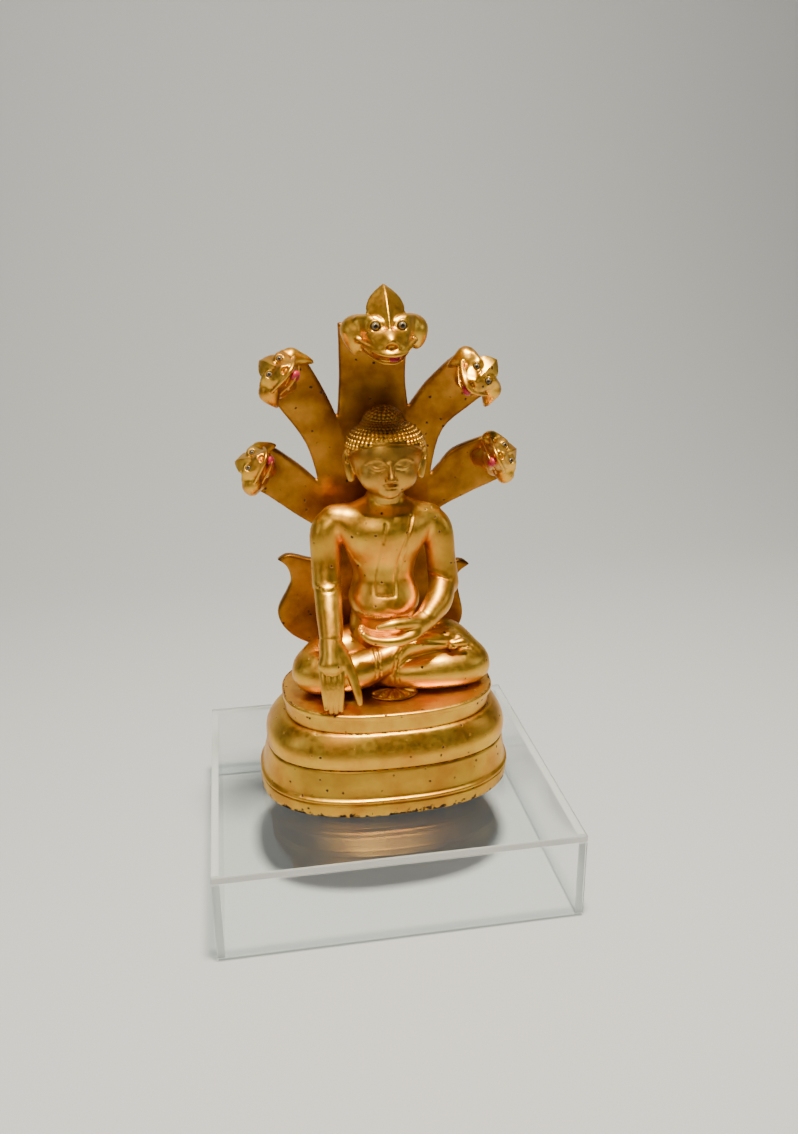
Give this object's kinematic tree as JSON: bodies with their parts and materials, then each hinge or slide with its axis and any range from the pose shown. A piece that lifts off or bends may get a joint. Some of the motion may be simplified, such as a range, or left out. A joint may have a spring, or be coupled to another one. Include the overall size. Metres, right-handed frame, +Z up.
{
  "type": "gilded seated buddha figure under a naga hood",
  "caption": "Gilded seated figure in the earth-touching pose, sheltered by naga heads on flat necks, on an oval moulded base and a clear acrylic riser box.",
  "frame": {"origin": "middle of the riser box's underside, on the surface that it stands on", "axes": "+Z up, -Y the front that the figure faces, +X towards the figure's left side"},
  "size_m": [0.3, 0.275, 0.5014],
  "materials": {
    "gold_leaf": "polished gold leaf over red-brown lacquer",
    "gold_leaf_dark": "thin worn gold leaf over red-brown lacquer",
    "tongue_lacquer": "crimson lacquer, satin",
    "eye_glass": "white glass bead with a dark pupil",
    "riser_acrylic": "clear polished acrylic sheet"
  },
  "bodies": {
    "root": {"back_plank": "gold_leaf_dark", "base_foot": "gold_leaf", "base_roll": "gold_leaf", "base_seat": "gold_leaf", "eye_central_left": "eye_glass", "eye_central_right": "eye_glass", "eye_lower_left_left": "eye_glass", "eye_lower_left_right": "eye_glass", "eye_lower_right_left": "eye_glass", "eye_lower_right_right": "eye_glass", "eye_upper_left_left": "eye_glass", "eye_upper_left_right": "eye_glass", "eye_upper_right_left": "eye_glass", "eye_upper_right_right": "eye_glass", "hair_cap": "gold_leaf", "head": "gold_leaf", "left_arm": "gold_leaf", "left_hand": "gold_leaf", "left_leg": "gold_leaf", "naga_head_central": "gold_leaf", "naga_head_lower_left": "gold_leaf", "naga_head_lower_right": "gold_leaf", "naga_head_upper_left": "gold_leaf", "naga_head_upper_right": "gold_leaf", "neck_central": "gold_leaf_dark", "neck_lower_left": "gold_leaf_dark", "neck_lower_right": "gold_leaf_dark", "neck_upper_left": "gold_leaf_dark", "neck_upper_right": "gold_leaf_dark", "right_arm": "gold_leaf", "right_foot": "gold_leaf", "right_hand": "gold_leaf", "right_leg": "gold_leaf", "riser_back": "riser_acrylic", "riser_front": "riser_acrylic", "riser_left": "riser_acrylic", "riser_right": "riser_acrylic", "riser_top": "riser_acrylic", "robe_hem": "gold_leaf", "tongue_central": "tongue_lacquer", "tongue_lower_left": "tongue_lacquer", "tongue_lower_right": "tongue_lacquer", "tongue_upper_left": "tongue_lacquer", "tongue_upper_right": "tongue_lacquer", "torso": "gold_leaf"}
  },
  "joints": []
}
